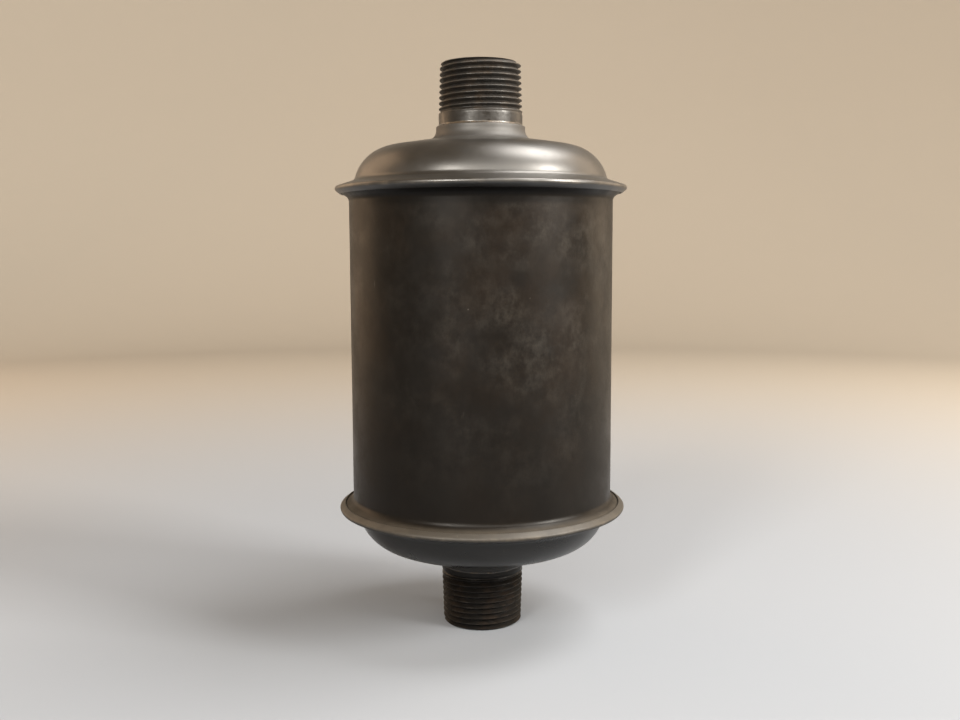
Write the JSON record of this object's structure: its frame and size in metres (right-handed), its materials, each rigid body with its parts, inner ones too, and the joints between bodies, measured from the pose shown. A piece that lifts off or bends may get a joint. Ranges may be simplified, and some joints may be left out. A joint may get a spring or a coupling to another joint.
{
  "type": "compressed air filter",
  "caption": "Sealed in-line compressed air filter: a dark sheet-steel canister with domed ends, clinched rims and a threaded pipe nipple at each end, round a spring-held pleated element.",
  "frame": {"origin": "centre of the outlet nipple's open end, on which the canister stands", "axes": "+Z along the canister's axis, from the outlet at the bottom to the inlet at the top; +X through the seam clip of the pleated paper"},
  "size_m": [0.0942, 0.0942, 0.1834],
  "materials": {
    "shell_finish": "satin black-brown baked finish, dusty, with fine scratches",
    "head_finish": "smoother satin black-brown baked finish",
    "nipple_finish": "dull black oxide with brown on the thread",
    "braze": "brazed joint under the same dark finish",
    "plated_sheet": "dull zinc plate",
    "spring_steel": "dark oiled spring steel",
    "gasket_rubber": "matte",
    "sealing_cord": "matte",
    "potting": "cast adhesive",
    "filter_paper": "resin-treated pleated paper"
  },
  "bodies": {
    "shell": {"canister_wall": "shell_finish", "inlet_head": "head_finish", "outlet_head": "head_finish", "inlet_nipple": "nipple_finish", "outlet_nipple": "nipple_finish", "inlet_seam_cord": "sealing_cord", "outlet_seam_cord": "sealing_cord", "inlet_braze_ring": "braze", "outlet_braze_ring": "braze", "outlet_funnel": "plated_sheet", "element_spring": "spring_steel"},
    "element": {"seat_gasket": "gasket_rubber", "element_lower_cap": "plated_sheet", "element_upper_cap": "plated_sheet", "lower_potting": "potting", "upper_potting": "potting", "core_tube": "plated_sheet", "outer_screen": "plated_sheet", "pleated_paper": "filter_paper", "pleat_clip": "plated_sheet", "centring_ring": "plated_sheet", "spring_locator": "plated_sheet"}
  },
  "joints": [
    {"name": "element_lift", "type": "slide", "parent": "shell", "child": "element", "axis": [0, 0, 1], "range_m": [0, 0.004], "stiffness_N_per_m": 970, "springref_m": -0.0067, "deforming": ["element_spring"]}
  ]
}
